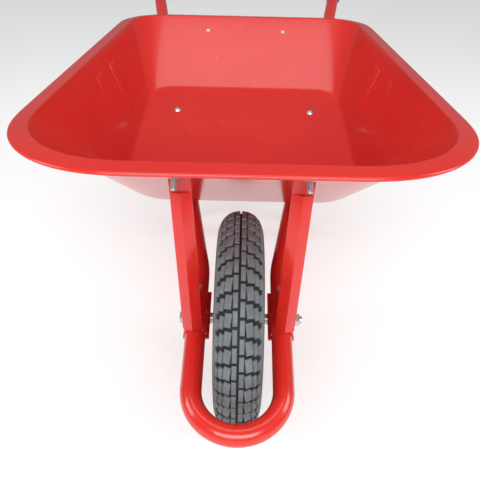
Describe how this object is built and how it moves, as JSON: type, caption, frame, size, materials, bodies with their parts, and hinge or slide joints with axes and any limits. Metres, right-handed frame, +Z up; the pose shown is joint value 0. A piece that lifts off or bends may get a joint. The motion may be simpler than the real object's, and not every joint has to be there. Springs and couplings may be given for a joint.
{
  "type": "wheelbarrow",
  "caption": "Single-wheel builder's barrow: flared sheet-steel tray on a bent tube frame with a nose hoop, pressed front struts, looped legs and a pneumatic wheel.",
  "frame": {"origin": "on the ground, on the centre line, midway between the nose hoop and the handle ends", "axes": "+X to the right seen from the front, +Y from the wheel towards the handles, +Z up"},
  "size_m": [0.6536, 1.3999, 0.5378],
  "materials": {
    "red_enamel": "glossy stoved enamel",
    "rim_enamel": "satin stoved enamel",
    "grip_rubber": "ribbed, semi-matt",
    "tyre_rubber": "moulded tread, semi-matt",
    "tube_rubber": "smooth",
    "seal_rubber": "smooth",
    "valve_brass": "turned",
    "black_plastic": "moulded",
    "cage_plastic": "moulded",
    "bearing_steel": "ground and polished",
    "zinc_plate": "bright zinc plated"
  },
  "bodies": {
    "frame": {"frame_tube": "red_enamel", "tray": "red_enamel", "strut_left": "red_enamel", "strut_right": "red_enamel", "leg_left": "red_enamel", "leg_right": "red_enamel", "leg_brace": "red_enamel", "grip_left": "grip_rubber", "grip_right": "grip_rubber", "axle_bracket_left": "red_enamel", "axle_bracket_right": "red_enamel", "axle_bolt": "zinc_plate", "axle_nut": "zinc_plate", "axle_washers": "zinc_plate", "axle_spacers": "zinc_plate", "bearing_inner_rings": "bearing_steel", "bearing_spacer": "bearing_steel", "strut_foot_bolts": "zinc_plate", "bracket_bolts": "zinc_plate", "bracket_nuts": "zinc_plate", "tray_bolts": "zinc_plate", "tray_nuts": "zinc_plate", "leg_bolts": "zinc_plate", "leg_nuts": "zinc_plate", "strut_bolts": "zinc_plate", "strut_washers": "zinc_plate", "strut_nuts": "zinc_plate", "brace_bolts": "zinc_plate", "brace_nuts": "zinc_plate"},
    "wheel": {"hub_tube": "rim_enamel", "rim_left": "rim_enamel", "rim_right": "rim_enamel", "rim_bolts": "zinc_plate", "rim_nuts": "zinc_plate", "tyre": "tyre_rubber", "inner_tube": "tube_rubber", "valve_stem": "valve_brass", "valve_cap": "black_plastic", "bearing_outer_rings": "bearing_steel", "bearing_seals": "seal_rubber"},
    "cage_left": {"bearing_cage_left": "cage_plastic", "bearing_balls_left": "bearing_steel"},
    "cage_right": {"bearing_cage_right": "cage_plastic", "bearing_balls_right": "bearing_steel"}
  },
  "joints": [
    {"name": "wheel_spin", "type": "hinge", "parent": "frame", "child": "wheel", "pos_m": [0, -0.47388, 0.178], "axis": [1, 0, 0], "continuous": true},
    {"name": "cage_left_spin", "type": "hinge", "parent": "frame", "child": "cage_left", "pos_m": [0, -0.47388, 0.178], "axis": [1, 0, 0], "continuous": true},
    {"name": "cage_right_spin", "type": "hinge", "parent": "frame", "child": "cage_right", "pos_m": [0, -0.47388, 0.178], "axis": [1, 0, 0], "continuous": true}
  ],
  "couplings": [
    {"joint": "cage_left_spin", "follows": "wheel_spin", "ratio": 0.6227},
    {"joint": "cage_right_spin", "follows": "wheel_spin", "ratio": 0.6227}
  ]
}
